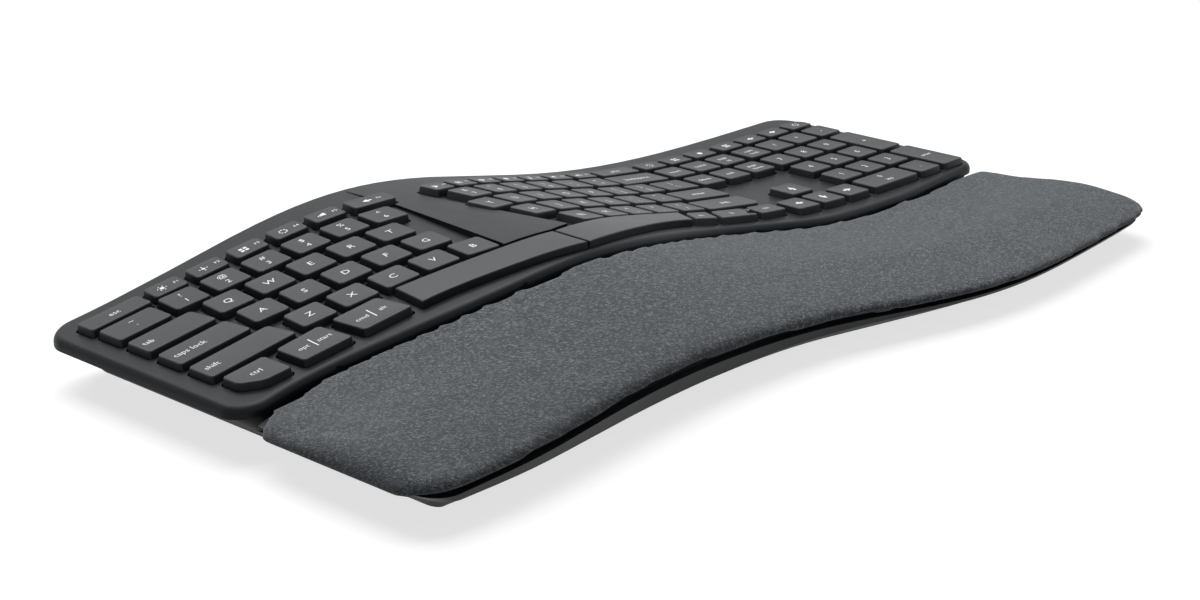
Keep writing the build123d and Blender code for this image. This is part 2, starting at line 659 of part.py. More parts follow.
def pad_floor(drop):
    """Everything below the cushion's underside, lowered by the drop."""
    sections = []
    for share in [-14.0] + PAD_MIDDLE_SHARES + [14.0]:
        x = across(share)
        front, back = station(min(max(x, -HALF_WIDTH), HALF_WIDTH))
        front_top = shoulder(x) - PAD_THICKNESS - drop
        rear_top = crease_height(x) - PAD_THICKNESS + COVER_THICKNESS - drop
        rise = (rear_top - front_top) / (back - front)
        over = 2 * OVERRUN
        with BuildSketch(Plane.YZ.offset(x)) as sketch:
            Polygon(
                (front - over, front_top - rise * over),
                (front - over, -OVERRUN),
                (back + over, -OVERRUN),
                (back + over, rear_top + rise * over),
                align=None,
            )
        sections.append(sketch.sketch.face())
    with BuildPart() as body:
        loft(sections, ruled=True)
    return body.part


def low_edge_body(drop):
    """Everything below the fabric's lower edge, lowered by the drop."""
    edge = [(across(share), low_edge(across(share)) - drop) for share in WAVE_SHARES]
    with BuildPart() as body:
        with BuildSketch(Plane.XZ.offset(-BACK)) as sketch:
            with BuildLine():
                Spline(*edge)
                Polyline(edge[-1], (edge[-1][0], -OVERRUN), (edge[0][0], -OVERRUN), edge[0])
            make_face()
        extrude(sketch.sketch.face(), DEPTH + OVERRUN)
    return body.part


base_space = pad_floor(0) & extrude(palm_outline(PAD_LIP, -OVERRUN, 0), TOP_LIMIT)

with BuildPart() as cover:
    add(pad_body(0))
    add(pad_body(COVER_THICKNESS), mode=Mode.SUBTRACT)
    add(base_space, mode=Mode.SUBTRACT)
cover.part.label = "palm_cushion_cover"
export_step(cover.part, "parts/palm_cushion_cover.step")

with BuildPart() as foam:
    add(pad_body(COVER_THICKNESS + SHEET_CLEARANCE))
    add(base_space, mode=Mode.SUBTRACT)
foam.part.label = "palm_cushion_foam"
export_step(foam.part, "parts/palm_cushion_foam.step")

# Palm rest base: a shell under the pad with a band that shows below the fabric

BASE_BOTTOM = TRAY_RIM + RIM_CLEARANCE

core_outline = palm_outline(PAD_LIP + PAD_CLEARANCE, 0, BASE_BOTTOM)
band_outline = palm_outline(BAND_INSET, CASE_WALL / 2, BASE_BOTTOM)
hollow_outline = palm_outline(PAD_LIP + PAD_CLEARANCE + CASE_WALL, CASE_WALL, 0)
base_core = pad_floor(PAD_CLEARANCE) & extrude(core_outline, TOP_LIMIT)
base_band = low_edge_body(PAD_CLEARANCE) & extrude(band_outline, TOP_LIMIT)
base_hollow = pad_floor(PAD_CLEARANCE + CASE_WALL) & extrude(hollow_outline, TOP_LIMIT)

with BuildPart() as palm_base:
    add(base_core)
    add(base_band)
    add(base_hollow, mode=Mode.SUBTRACT)
palm_base.part.label = "palm_rest_base"
export_step(palm_base.part, "parts/palm_rest_base.step")

# Bottom case: a tray on the feet whose wall rises to the deck's skirt

LEG_AXIS_SHARE = 9.60
LEG_AXIS_HEIGHT = FOOT_HEIGHT + LEG_THICKNESS / 2 + PIN_CLEARANCE
LEG_POCKET_TOP = FOOT_HEIGHT + LEG_THICKNESS + 2 * LEG_CLEARANCE
LEGS = {
    "palm_leg_tall_left": (-8.0, TALL_LEG_LENGTH),
    "palm_leg_short_left": (-6.3, SHORT_LEG_LENGTH),
    "palm_leg_short_right": (6.3, SHORT_LEG_LENGTH),
    "palm_leg_tall_right": (8.0, TALL_LEG_LENGTH),
}
BAY_X = across(-4.1)
BAY_Y = down(2.6)
BAY_LENGTH = CELL_LENGTH + 2 * CONTACT_THICKNESS + 2 * CELL_GAP
BAY_DEPTH = 2 * CELL_DIAMETER + 3 * CELL_GAP
BAY_TOP = FLOOR_TOP + CELL_DIAMETER
SWITCH_X = across(-0.8)
SWITCH_Y = down(1.2)
SWITCH_ROOM = SWITCH_LENGTH + SWITCH_TRAVEL
BOARD_X = across(1.6)
BOARD_Y = down(2.4)
BOARD_SHARE = 0.42
SCREW_SHARES = [(-11.0, 0.6), (0.9, 0.5), (10.9, 0.6), (-11.0, 8.6), (-3.2, 8.6), (3.2, 8.6), (11.0, 8.6)]
FOOT_SHARES = [(-9.6, 0.5), (-2.2, 0.3), (9.6, 0.5), (-10.2, 9.6), (0.0, 9.0), (10.2, 9.6)]


def leg_pocket(name, gap):
    """Middle and size of the room that a folded leg takes, with a gap all round."""
    x_share, length = LEGS[name]
    reach = length + LEG_THICKNESS / 2
    middle_y = down(LEG_AXIS_SHARE) + length / 2 - LEG_THICKNESS / 4
    return (across(x_share), middle_y), (LEG_WIDTH + 2 * gap, reach + 2 * gap)


with BuildPart() as upper_wall:
    add(layer(deck_outline(RIM_INSET), RIM_DROP, RIM_DROP + HUMP_HEIGHT + FLAT_TOP_HEIGHT))
    with BuildSketch(Plane.XY.offset(TRAY_RIM)):
        Rectangle(WIDTH, DEPTH)
    extrude(amount=TOP_LIMIT, mode=Mode.INTERSECT)
    extrude(deck_outline(RIM_INSET + CASE_WALL), TOP_LIMIT, mode=Mode.SUBTRACT)

with BuildPart() as bottom_case:
    loft([case_outline(RIM_INSET + CASE_FLARE, FOOT_HEIGHT), case_outline(RIM_INSET, TRAY_RIM)], ruled=True)
    hollow_floor = case_outline(RIM_INSET + CASE_FLARE + CASE_WALL, FLOOR_TOP)
    hollow_rim = case_outline(RIM_INSET + CASE_WALL, TRAY_RIM)
    loft([hollow_floor, hollow_rim], ruled=True, mode=Mode.SUBTRACT)
    add(upper_wall.part)
    with BuildSketch(Plane.XY.offset(FOOT_HEIGHT)):
        for name in LEGS:
            middle, size = leg_pocket(name, LEG_CLEARANCE + CASE_WALL)
            with Locations(middle):
                Rectangle(*size)
    extrude(amount=LEG_POCKET_TOP + LEG_ROOF - FOOT_HEIGHT)
    with BuildSketch(Plane.XY.offset(FOOT_HEIGHT)):
        with Locations((SWITCH_X, SWITCH_Y)):
            Rectangle(SWITCH_ROOM + 2 * CASE_WALL, SWITCH_WIDTH + 2 * CASE_WALL)
    extrude(amount=SWITCH_THICKNESS + 2 * CASE_WALL)
    with BuildSketch(Plane.XY.offset(FOOT_HEIGHT)):
        with Locations((BAY_X, BAY_Y)):
            Rectangle(BAY_LENGTH + 2 * CASE_WALL, BAY_DEPTH + 2 * CASE_WALL)
    extrude(amount=BAY_TOP - FOOT_HEIGHT)
    with BuildSketch(Plane.XY.offset(FLOOR_TOP)):
        with Locations(*[(across(x), down(y)) for x, y in SCREW_SHARES]):
            Circle(BOSS_DIAMETER / 2)
        with Locations((BOARD_X, BOARD_Y)):
            with GridLocations(BOARD_LENGTH - BOSS_DIAMETER, BOARD_DEPTH - BOSS_DIAMETER, 2, 2):
                Circle(BOSS_DIAMETER / 2)
    extrude(amount=BOSS_HEIGHT)
    with BuildSketch(Plane.XY.offset(FOOT_HEIGHT)):
        for name in LEGS:
            middle, size = leg_pocket(name, LEG_CLEARANCE)
            with Locations(middle):
                Rectangle(*size)
    extrude(amount=LEG_POCKET_TOP - FOOT_HEIGHT, mode=Mode.SUBTRACT)
    for name, (x_share, length) in LEGS.items():
        pin_plane = Plane.YZ.offset(across(x_share) - LEG_WIDTH / 2 - CASE_WALL)
        with BuildSketch(pin_plane):
            with Locations((down(LEG_AXIS_SHARE), LEG_AXIS_HEIGHT)):
                Circle(PIN_DIAMETER / 2 + PIN_CLEARANCE)
        extrude(amount=LEG_WIDTH + 2 * CASE_WALL, mode=Mode.SUBTRACT)
    with BuildSketch(Plane.XY.offset(FOOT_HEIGHT)):
        with Locations((SWITCH_X, SWITCH_Y)):
            Rectangle(SWITCH_ROOM + 2 * DOOR_CLEARANCE, SWITCH_WIDTH + 2 * DOOR_CLEARANCE)
    extrude(amount=SWITCH_THICKNESS + DOOR_CLEARANCE, mode=Mode.SUBTRACT)
    with BuildSketch(Plane.XY.offset(FOOT_HEIGHT)):
        with Locations((BAY_X, BAY_Y)):
            Rectangle(BAY_LENGTH, BAY_DEPTH)
    extrude(amount=BAY_TOP, mode=Mode.SUBTRACT)
    with BuildSketch(Plane.XY.offset(FOOT_HEIGHT)):
        with Locations(*[(across(x), down(y)) for x, y in SCREW_SHARES]):
            Circle(SCREW_DIAMETER / 2 + PIN_CLEARANCE)
    extrude(amount=CASE_WALL + BOSS_HEIGHT, mode=Mode.SUBTRACT)
bottom_case.part.label = "bottom_case"
export_step(bottom_case.part, "parts/bottom_case.step")

# Battery bay: two cells side by side between contact strips, over a hinged door

with BuildPart() as batteries:
    with BuildSketch(Plane.YZ.offset(BAY_X - CELL_LENGTH / 2)):
        with Locations((BAY_Y, FLOOR_TOP + CELL_GAP / 2 + CELL_DIAMETER / 2)):
            with GridLocations(CELL_DIAMETER + CELL_GAP, 0, 2, 1):
                Circle(CELL_DIAMETER / 2)
    extrude(amount=CELL_LENGTH)
batteries.part.label = "batteries"
export_step(batteries.part, "parts/batteries.step")

with BuildPart() as contacts:
    for end in (-1, 1):
        strip_x = BAY_X + end * (CELL_LENGTH / 2 + CONTACT_THICKNESS / 2 + SHEET_CLEARANCE)
        with BuildSketch(Plane.YZ.offset(strip_x - CONTACT_THICKNESS / 2)):
            with Locations((BAY_Y, FLOOR_TOP + CELL_GAP / 2 + CELL_DIAMETER / 2)):
                Rectangle(BAY_DEPTH - CELL_GAP, CELL_DIAMETER - CELL_GAP)
    extrude(amount=CONTACT_THICKNESS)
contacts.part.label = "battery_contacts"
export_step(contacts.part, "parts/battery_contacts.step")

HINGE_Y = BAY_Y + BAY_DEPTH / 2 - DOOR_CLEARANCE - CASE_WALL / 2
HINGE_HEIGHT = FOOT_HEIGHT + CASE_WALL / 2

with BuildPart() as door:
    with BuildSketch(Plane.YZ.offset(BAY_X - BAY_LENGTH / 2 + DOOR_CLEARANCE)):
        with Locations((HINGE_Y, HINGE_HEIGHT)):
            Circle(CASE_WALL / 2)
            door_depth = BAY_DEPTH - 2 * DOOR_CLEARANCE - CASE_WALL / 2
            Rectangle(door_depth, CASE_WALL, align=(Align.MAX, Align.CENTER))
    extrude(amount=BAY_LENGTH - 2 * DOOR_CLEARANCE)
    front_edge = door.edges().filter_by(Axis.X).group_by(Axis.Z)[0].sort_by(Axis.Y)[:1]
    chamfer(front_edge, DOOR_CLEARANCE)
door.part.label = "battery_door"
export_step(door.part, "parts/battery_door.step")

# Power switch in its recess

with BuildPart() as power_switch:
    with BuildSketch(Plane.XY.offset(FOOT_HEIGHT)):
        with Locations((SWITCH_X - SWITCH_TRAVEL / 2, SWITCH_Y)):
            Rectangle(SWITCH_LENGTH, SWITCH_WIDTH)
    extrude(amount=SWITCH_THICKNESS)
    with BuildSketch(Plane.XY.offset(FOOT_HEIGHT)):
        with Locations((SWITCH_X - SWITCH_TRAVEL / 2, SWITCH_Y)):
            with GridLocations(SWITCH_LENGTH / 3, 0, 3, 1):
                Rectangle(SWITCH_LENGTH / 8, SWITCH_WIDTH)
    extrude(amount=SWITCH_THICKNESS / 3, mode=Mode.SUBTRACT)
power_switch.part.label = "power_switch"
export_step(power_switch.part, "parts/power_switch.step")

# Palm lift legs, folded flat in their pockets, each on a pin through the pocket's sides

for name, (x_share, length) in LEGS.items():
    with BuildPart() as leg:
        with BuildSketch(Plane.YZ.offset(across(x_share) - LEG_WIDTH / 2)) as side:
            with Locations((down(LEG_AXIS_SHARE), LEG_AXIS_HEIGHT)):
                Circle(LEG_THICKNESS / 2)
                Rectangle(length, LEG_THICKNESS, align=(Align.MIN, Align.CENTER))
            foot_corners = side.vertices().group_by(Axis.X)[-1]
            fillet(foot_corners, LEG_THICKNESS / 4)
        extrude(amount=LEG_WIDTH)
        with BuildSketch(Plane.XY.offset(LEG_AXIS_HEIGHT - LEG_THICKNESS)):
            with Locations((across(x_share), down(LEG_AXIS_SHARE) + length / 2)):
                Rectangle(LEG_WIDTH / 2, length - 2 * LEG_THICKNESS)
        extrude(amount=LEG_THICKNESS, mode=Mode.SUBTRACT)
        with BuildSketch(Plane.YZ.offset(across(x_share) - LEG_WIDTH / 2 - CASE_WALL)):
            with Locations((down(LEG_AXIS_SHARE), LEG_AXIS_HEIGHT)):
                Circle(PIN_DIAMETER / 2)
        extrude(amount=LEG_WIDTH + 2 * CASE_WALL)
    leg.part.label = name
    export_step(leg.part, f"parts/{name}.step")

# Rubber feet, case screws and the circuit board

with BuildPart() as feet:
    with BuildSketch(Plane.XY):
        with Locations(*[(across(x), down(y)) for x, y in FOOT_SHARES]):
            SlotOverall(FOOT_LENGTH, FOOT_WIDTH)
    extrude(amount=FOOT_HEIGHT)
feet.part.label = "rubber_feet"
export_step(feet.part, "parts/rubber_feet.step")

with BuildPart() as screws:
    with BuildSketch(Plane.XY.offset(FOOT_HEIGHT - SCREW_HEAD_HEIGHT)):
        with Locations(*[(across(x), down(y)) for x, y in SCREW_SHARES]):
            Circle(SCREW_HEAD_DIAMETER / 2)
    extrude(amount=SCREW_HEAD_HEIGHT)
    with BuildSketch(Plane.XY.offset(FOOT_HEIGHT)):
        with Locations(*[(across(x), down(y)) for x, y in SCREW_SHARES]):
            Circle(SCREW_DIAMETER / 2)
    extrude(amount=CASE_WALL + BOSS_HEIGHT)
screws.part.label = "case_screws"
export_step(screws.part, "parts/case_screws.step")

with BuildPart() as board:
    with BuildSketch(Plane.XY.offset(FLOOR_TOP + BOSS_HEIGHT)):
        with Locations((BOARD_X, BOARD_Y)):
            Rectangle(BOARD_LENGTH, BOARD_DEPTH)
    extrude(amount=BOARD_THICKNESS)
    with BuildSketch(Plane.XY.offset(FLOOR_TOP + BOSS_HEIGHT + BOARD_THICKNESS)):
        with Locations((BOARD_X, BOARD_Y)):
            Rectangle(BOARD_LENGTH * BOARD_SHARE / 2, BOARD_DEPTH * BOARD_SHARE)
    extrude(amount=BOARD_THICKNESS)
board.part.label = "circuit_board"
export_step(board.part, "parts/circuit_board.step")
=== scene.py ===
# Looks of the split keyboard: finishes, rounded keycaps with legends, and the padded fabric palm rest.

import json
import math

import bmesh
import bpy
from mathutils import Matrix, Vector


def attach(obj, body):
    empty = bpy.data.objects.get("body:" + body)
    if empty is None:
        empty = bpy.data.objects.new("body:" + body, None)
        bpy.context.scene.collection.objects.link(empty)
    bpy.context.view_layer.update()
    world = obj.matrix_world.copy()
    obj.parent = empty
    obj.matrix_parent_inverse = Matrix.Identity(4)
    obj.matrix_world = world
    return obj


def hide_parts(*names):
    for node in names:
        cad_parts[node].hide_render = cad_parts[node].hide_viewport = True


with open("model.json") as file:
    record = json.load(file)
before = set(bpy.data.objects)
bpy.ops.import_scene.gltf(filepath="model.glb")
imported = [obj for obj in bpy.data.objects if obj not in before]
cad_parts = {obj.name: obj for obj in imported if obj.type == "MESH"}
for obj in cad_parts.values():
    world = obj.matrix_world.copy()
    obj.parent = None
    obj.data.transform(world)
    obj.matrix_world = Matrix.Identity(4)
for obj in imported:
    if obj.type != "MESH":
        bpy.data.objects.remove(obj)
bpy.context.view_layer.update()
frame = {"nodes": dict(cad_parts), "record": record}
nodes = frame["nodes"]
record = frame["record"]
body_of_node = {node: body for body, members in record["behaviour"]["bodies"].items() for node in members}

MM = 0.001
DISSOLVE_ANGLE = math.radians(1.0)
MERGE_DISTANCE = 0.005 * MM

# Camera, at the place and angle of the photograph

CAMERA_PLACE = (-0.6860, -0.5965, 0.3275)
CAMERA_YAW = 47.45
CAMERA_PITCH = 19.65
LENS = 68.4
SENSOR_WIDTH = 36.0
CLIP_START = 0.01

bpy.ops.object.select_all(action="DESELECT")
bpy.ops.object.camera_add(
    location=CAMERA_PLACE,
    rotation=(math.radians(90 - CAMERA_PITCH), 0, math.radians(-CAMERA_YAW)),
)
camera = bpy.context.object
camera.data.lens = LENS
camera.data.sensor_width = SENSOR_WIDTH
camera.data.clip_start = CLIP_START
bpy.context.scene.camera = camera
bpy.context.scene.view_settings.view_transform = "Standard"


# Node helpers


def add_node(tree, kind, **sockets):
    node = tree.nodes.new(kind)
    for name, value in sockets.items():
        node.inputs[name].default_value = value
    return node


def math_node(tree, operation, first, second=None, third=None, clamp=False):
    """Math node fed by sockets or plain numbers."""
    node = tree.nodes.new("ShaderNodeMath")
    node.operation = operation
    node.use_clamp = clamp
    for i, value in enumerate((first, second, third)):
        if value is None:
            continue
        if isinstance(value, (int, float)):
            node.inputs[i].default_value = value
        else:
            tree.links.new(value, node.inputs[i])
    return node.outputs[0]


def new_group(name, inputs, outputs):
    """Empty shader node group with named inputs (name, kind, value) and outputs (name, kind)."""
    tree = bpy.data.node_groups.new(name, "ShaderNodeTree")
    for label, kind, value in inputs:
        socket = tree.interface.new_socket(name=label, in_out="INPUT", socket_type=kind)
        if value is not None:
            socket.default_value = value
    for label, kind in outputs:
        tree.interface.new_socket(name=label, in_out="OUTPUT", socket_type=kind)
    return tree, tree.nodes.new("NodeGroupInput"), tree.nodes.new("NodeGroupOutput")


def mixed_colour(tree, given, share):
    """Colour between the group's Dark and Light inputs by a share from 0 to 1."""
    mix = tree.nodes.new("ShaderNodeMix")
    mix.data_type = "RGBA"
    tree.links.new(share, mix.inputs["Factor"])
    tree.links.new(given.outputs["Dark"], mix.inputs[6])
    tree.links.new(given.outputs["Light"], mix.inputs[7])
    return mix.outputs[2]


GRAIN_SHARE = 0.5
GRAIN_CONTRAST = (2.4, -0.7)


def make_moulding_group():
    """Fine spark-eroded grain, slow colour drift and handling smudges of moulded plastic and metal."""
    tree, given, made = new_group(
        "moulded_surface",
        [
            ("Vector", "NodeSocketVector", None),
            ("Dark", "NodeSocketColor", (0.04, 0.04, 0.04, 1)),
            ("Light", "NodeSocketColor", (0.06, 0.06, 0.06, 1)),
            ("Grain Scale", "NodeSocketFloat", 2600.0),
            ("Roughness", "NodeSocketFloat", 0.4),
            ("Smudge", "NodeSocketFloat", 0.08),
        ],
        [("Color", "NodeSocketColor"), ("Roughness", "NodeSocketFloat"), ("Height", "NodeSocketFloat")],
    )
    drift = add_node(tree, "ShaderNodeTexNoise", Scale=28.0, Detail=3.0, Roughness=0.6)
    grain = add_node(tree, "ShaderNodeTexNoise", Detail=2.0, Roughness=0.55)
    smudge = add_node(tree, "ShaderNodeTexNoise", Scale=70.0, Detail=4.0, Roughness=0.7, Distortion=0.6)
    for node in (drift, grain, smudge):
        tree.links.new(given.outputs["Vector"], node.inputs["Vector"])
    tree.links.new(given.outputs["Grain Scale"], grain.inputs["Scale"])
    slow = math_node(tree, "MULTIPLY", drift.outputs["Fac"], 1 - GRAIN_SHARE)
    share = math_node(tree, "MULTIPLY_ADD", grain.outputs["Fac"], GRAIN_SHARE, slow)
    steeper = math_node(tree, "MULTIPLY_ADD", share, *GRAIN_CONTRAST, clamp=True)
    tree.links.new(mixed_colour(tree, given, steeper), made.inputs["Color"])
    swing = math_node(tree, "SUBTRACT", smudge.outputs["Fac"], 0.5)
    smudge_and_roughness = (given.outputs["Smudge"], given.outputs["Roughness"])
    rough = math_node(tree, "MULTIPLY_ADD", swing, *smudge_and_roughness, clamp=True)
    tree.links.new(rough, made.inputs["Roughness"])
    tree.links.new(grain.outputs["Fac"], made.inputs["Height"])
    return tree


# Weave: lengths are in thread pitches, and the rest are shares

RISE_SHARE = 0.6
TURNS_PER_METRE = 6.67
TWILL_SLANT = 0.8
WOBBLE = 0.9
THREAD_RELIEF = (0.2, 0.5)
RIDGE_RELIEF = 0.3
FLECK_LENGTH = (-0.7, 0.56)
FLECK_CONTRAST = 2.2
FLECK_FADE = (1.05, 0.9)
FLECK_TONE = 0.85
RELIEF_TONE = 0.28
FLECK_ROUGHNESS = (-0.15, 0.95)
FLECK_RELIEF = 0.35


def make_weave_group():
    """Heathered twill: diagonal ridges, crossing threads and light flecks in slanting rows.

    The threads follow the surface down the rims: height counts towards the run of the threads, and
    shifts them sideways the other way at the left than at the right.
    """
    tree, given, made = new_group(
        "heathered_twill",
        [
            ("Vector", "NodeSocketVector", None),
            ("Pitch", "NodeSocketFloat", 0.0011),
            ("Dark", "NodeSocketColor", (0.02, 0.02, 0.02, 1)),
            ("Light", "NodeSocketColor", (0.2, 0.2, 0.2, 1)),
        ],
        [("Color", "NodeSocketColor"), ("Roughness", "NodeSocketFloat"), ("Height", "NodeSocketFloat")],
    )
    place = tree.nodes.new("ShaderNodeSeparateXYZ")
    tree.links.new(given.outputs["Vector"], place.inputs[0])
    run = math_node(tree, "MULTIPLY_ADD", place.outputs["Z"], RISE_SHARE, place.outputs["Y"])
    turning = math_node(tree, "MULTIPLY", place.outputs["X"], TURNS_PER_METRE)
    turning = math_node(tree, "MAXIMUM", math_node(tree, "MINIMUM", turning, 1), -1)
    fall = math_node(tree, "MULTIPLY", place.outputs["Z"], turning)
    side = math_node(tree, "SUBTRACT", place.outputs["X"], fall)
    across = math_node(tree, "DIVIDE", side, given.outputs["Pitch"])
    along = math_node(tree, "DIVIDE", run, given.outputs["Pitch"])
    wobble = add_node(tree, "ShaderNodeTexNoise", Scale=260.0, Detail=2.0)
    tree.links.new(given.outputs["Vector"], wobble.inputs["Vector"])
    shift = math_node(tree, "MULTIPLY", math_node(tree, "SUBTRACT", wobble.outputs["Fac"], 0.5), WOBBLE)
    diagonal = math_node(tree, "ADD", math_node(tree, "MULTIPLY_ADD", across, TWILL_SLANT, along), shift)
    ridge = math_node(tree, "SINE", math_node(tree, "MULTIPLY", diagonal, 2 * math.pi))
    weft = math_node(tree, "SINE", math_node(tree, "MULTIPLY", across, 4 * math.pi))
    thread = math_node(tree, "MULTIPLY_ADD", math_node(tree, "MULTIPLY", ridge, weft), *THREAD_RELIEF)
    relief = math_node(tree, "MULTIPLY_ADD", ridge, RIDGE_RELIEF, thread)
    slanted = tree.nodes.new("ShaderNodeCombineXYZ")
    sideways = math_node(tree, "MULTIPLY", across, FLECK_LENGTH[1])
    length = math_node(tree, "MULTIPLY_ADD", along, FLECK_LENGTH[0], sideways)
    tree.links.new(length, slanted.inputs[0])
    tree.links.new(diagonal, slanted.inputs[1])
    flecks = add_node(tree, "ShaderNodeTexVoronoi", Scale=1.0, Randomness=0.9)
    tree.links.new(slanted.outputs[0], flecks.inputs["Vector"])
    tone = tree.nodes.new("ShaderNodeSeparateColor")
    tree.links.new(flecks.outputs["Color"], tone.inputs[0])
    fleck = math_node(tree, "POWER", tone.outputs[0], FLECK_CONTRAST)
    loss = math_node(tree, "MULTIPLY", flecks.outputs["Distance"], FLECK_FADE[1])
    fade = math_node(tree, "SUBTRACT", FLECK_FADE[0], loss, clamp=True)
    lit = math_node(tree, "MULTIPLY", fleck, fade)
    bright = math_node(tree, "MULTIPLY", lit, FLECK_TONE)
    share = math_node(tree, "MULTIPLY_ADD", relief, RELIEF_TONE, bright, clamp=True)
    tree.links.new(mixed_colour(tree, given, share), made.inputs["Color"])
    tree.links.new(math_node(tree, "MULTIPLY_ADD", lit, *FLECK_ROUGHNESS), made.inputs["Roughness"])
    tree.links.new(math_node(tree, "MULTIPLY_ADD", lit, FLECK_RELIEF, relief), made.inputs["Height"])
    return tree


moulding_group = make_moulding_group()
weave_group = make_weave_group()

SHEEN_ROUGHNESS = 0.5


def new_material(name, group, bump_height, metallic=0.0, sheen=0.0, specular=0.5, **values):
    """Material whose colour, roughness and relief come from one of the groups on Object coordinates."""
    material = bpy.data.materials.new(name)
    material.use_nodes = True
    tree = material.node_tree
    shader = tree.nodes["Principled BSDF"]
    shader.inputs["Metallic"].default_value = metallic
    shader.inputs["Sheen Weight"].default_value = sheen
    shader.inputs["Sheen Roughness"].default_value = SHEEN_ROUGHNESS
    shader.inputs["Specular IOR Level"].default_value = specular
    coordinates = tree.nodes.new("ShaderNodeTexCoord")
    surface = tree.nodes.new("ShaderNodeGroup")
    surface.node_tree = group
    tree.links.new(coordinates.outputs["Object"], surface.inputs["Vector"])
    for socket, value in values.items():
        surface.inputs[socket.replace("_", " ").title()].default_value = value
    bump = tree.nodes.new("ShaderNodeBump")
    bump.inputs["Strength"].default_value = 1.0
    bump.inputs["Distance"].default_value = bump_height
    tree.links.new(surface.outputs["Height"], bump.inputs["Height"])
    tree.links.new(surface.outputs["Color"], shader.inputs["Base Color"])
    tree.links.new(surface.outputs["Roughness"], shader.inputs["Roughness"])
    tree.links.new(bump.outputs[0], shader.inputs["Normal"])
    return material


def plastic(
    name, shade, tint=0.0, spread=0.12, roughness=0.42, smudge=0.1, grain_scale=2600.0, grain=0.006, **more
):
    """Moulded plastic, rubber, foam or metal of one grey shade, a little bluer by the tint."""
    colour = [shade * (1 - tint), shade, shade * (1 + tint)]
    dark = [value * (1 - spread) for value in colour] + [1]
    light = [value * (1 + spread) for value in colour] + [1]
    return new_material(
        name, moulding_group, grain * MM, dark=dark, light=light,
        roughness=roughness, smudge=smudge, grain_scale=grain_scale, **more,
    )


materials = {
    "deck": plastic("satin_deck_plastic", 0.011, tint=0.16, roughness=0.42, specular=0.11),
    "keycaps": plastic(
        "satin_key_plastic", 0.020, tint=0.14, roughness=0.38, specular=0.18, grain_scale=3200.0,
    ),
    "case": plastic(
        "textured_case_plastic", 0.010, tint=0.05, roughness=0.55, specular=0.1,
        grain_scale=1400.0, grain=0.02,
    ),
    "palm_base": plastic("grey_band_plastic", 0.022, tint=0.1, roughness=0.42, specular=0.12),
    "foam": plastic("soft_foam", 0.16, spread=0.3, roughness=0.95, grain_scale=900.0, grain=0.12),
    "rubber": plastic("grey_rubber", 0.035, roughness=0.75, grain_scale=1800.0, grain=0.01),
    "link_plastic": plastic("white_link_plastic", 0.62, roughness=0.45, spread=0.04),
    "steel": plastic("bright_steel", 0.52, roughness=0.28, metallic=1.0, grain_scale=900.0, spread=0.06),
    "film": plastic("clear_film", 0.30, roughness=0.2, spread=0.05),
    "board": new_material(
        "green_board", moulding_group, 0.01 * MM, dark=(0.005, 0.05, 0.02, 1), light=(0.02, 0.12, 0.05, 1),
        grain_scale=420.0, roughness=0.35, smudge=0.1,
    ),
    "cell": new_material(
        "cell_wrapper", moulding_group, 0.004 * MM, dark=(0.02, 0.03, 0.06, 1), light=(0.03, 0.05, 0.10, 1),
        grain_scale=300.0, roughness=0.25, smudge=0.1,
    ),
    "fabric": new_material(
        "heathered_fabric", weave_group, 0.10 * MM, sheen=0.25, specular=0.25,
        dark=(0.010, 0.012, 0.014, 1), light=(0.22, 0.24, 0.26, 1), pitch=0.7 * MM,
    ),
}
ink = plastic("pale_legend_ink", 0.72, tint=0.02, spread=0.03, roughness=0.5, grain_scale=4000.0, grain=0.002)

slot_by_node = {
    "top_case": "deck",
    "bottom_case": "case",
    "battery_door": "case",
    "power_switch": "case",
    "palm_rest_base": "palm_base",
    "palm_cushion_foam": "foam",
    "palm_cushion_cover": "fabric",
    "rubber_feet": "rubber",
    "rubber_domes": "rubber",
    "scissor_links": "link_plastic",
    "stabiliser_wires": "steel",
    "case_screws": "steel",
    "battery_contacts": "steel",
    "key_support_plate": "steel",
    "membrane_sheet": "film",
    "circuit_board": "board",
    "batteries": "cell",
}
for name, node in nodes.items():
    slot = slot_by_node.get(name, "case" if name.startswith("palm_leg") else "keycaps")
    node.data.materials.clear()
    node.data.materials.append(materials[slot])


# Shaping helpers


def only(*objects):
    """Selects these objects alone, with the first one active."""
    bpy.ops.object.select_all(action="DESELECT")
    for obj in objects:
        obj.select_set(True)
    bpy.context.view_layer.objects.active = objects[0]


def modify(obj, kind, **settings):
    """Adds a modifier and applies it at once."""
    only(obj)
    bpy.ops.object.modifier_add(type=kind)
    modifier = obj.modifiers[-1]
    for name, value in settings.items():
        setattr(modifier, name, value)
    bpy.ops.object.modifier_apply(modifier=modifier.name)


def copy_of(name, node_name):
    """Copy of a CAD node with its points merged and its flat faces joined."""
    made = bpy.data.objects.new(name, nodes[node_name].data.copy())
    bpy.context.scene.collection.objects.link(made)
    only(made)
    bpy.ops.mesh.customdata_custom_splitnormals_clear()
    bpy.ops.object.mode_set(mode="EDIT")
    bpy.ops.mesh.select_all(action="SELECT")
    bpy.ops.mesh.remove_doubles(threshold=MERGE_DISTANCE)
    bpy.ops.mesh.dissolve_limited(angle_limit=DISSOLVE_ANGLE)
    bpy.ops.object.mode_set(mode="OBJECT")
    return made


